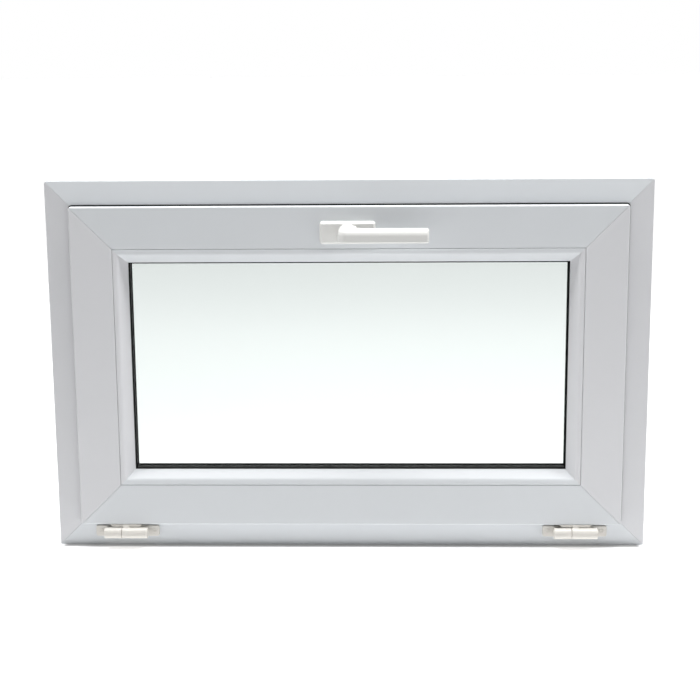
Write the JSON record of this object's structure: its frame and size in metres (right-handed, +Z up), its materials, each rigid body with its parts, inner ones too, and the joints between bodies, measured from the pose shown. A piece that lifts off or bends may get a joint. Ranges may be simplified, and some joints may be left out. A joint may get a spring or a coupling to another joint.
{
  "type": "hopper window",
  "caption": "White plastic bottom-hung hopper window, closed: mitred frame and sash, glazing beads, insulating glass, turning lever handle on the top rail, barrel hinges on the sill.",
  "frame": {"origin": "middle of the underside of the frame's sill, half way through the frame's depth", "axes": "+X to the right as seen from the room, +Y from the room to the outside, +Z up"},
  "size_m": [0.8, 0.13, 0.5],
  "materials": {
    "profile_white": "satin white extruded plastic",
    "gasket_black": "matt black sealing rubber",
    "spacer_black": "matt black warm-edge spacer",
    "glass_clear": "clear float glass",
    "handle_white": "white powder-coated casting",
    "hinge_white": "cream-white powder coat"
  },
  "bodies": {
    "window": {"frame_sill": "profile_white", "frame_head": "profile_white", "frame_jamb_left": "profile_white", "frame_jamb_right": "profile_white", "sash_bottom_rail": "profile_white", "sash_top_rail": "profile_white", "sash_stile_left": "profile_white", "sash_stile_right": "profile_white", "glazing_bead_bottom": "profile_white", "glazing_bead_top": "profile_white", "glazing_bead_left": "profile_white", "glazing_bead_right": "profile_white", "inner_gasket_bottom": "gasket_black", "inner_gasket_top": "gasket_black", "inner_gasket_left": "gasket_black", "inner_gasket_right": "gasket_black", "outer_gasket_bottom": "gasket_black", "outer_gasket_top": "gasket_black", "outer_gasket_left": "gasket_black", "outer_gasket_right": "gasket_black", "sash_seal_bottom": "gasket_black", "sash_seal_top": "gasket_black", "sash_seal_left": "gasket_black", "sash_seal_right": "gasket_black", "frame_seal_bottom": "gasket_black", "frame_seal_top": "gasket_black", "frame_seal_left": "gasket_black", "frame_seal_right": "gasket_black", "glass_spacer_bottom": "spacer_black", "glass_spacer_top": "spacer_black", "glass_spacer_left": "spacer_black", "glass_spacer_right": "spacer_black", "glass_pane_inner": "glass_clear", "glass_pane_outer": "glass_clear", "handle_rosette": "handle_white", "hinge_left_frame_leaf": "hinge_white", "hinge_left_sash_leaf": "hinge_white", "hinge_left_pin": "hinge_white", "hinge_right_frame_leaf": "hinge_white", "hinge_right_sash_leaf": "hinge_white", "hinge_right_pin": "hinge_white"},
    "handle": {"handle_lever": "handle_white"}
  },
  "joints": [
    {"name": "handle_turn", "type": "hinge", "parent": "window", "child": "handle", "pos_m": [0, -0.047, 0.433], "axis": [0, 1, 0], "range_deg": [0, 90]}
  ]
}
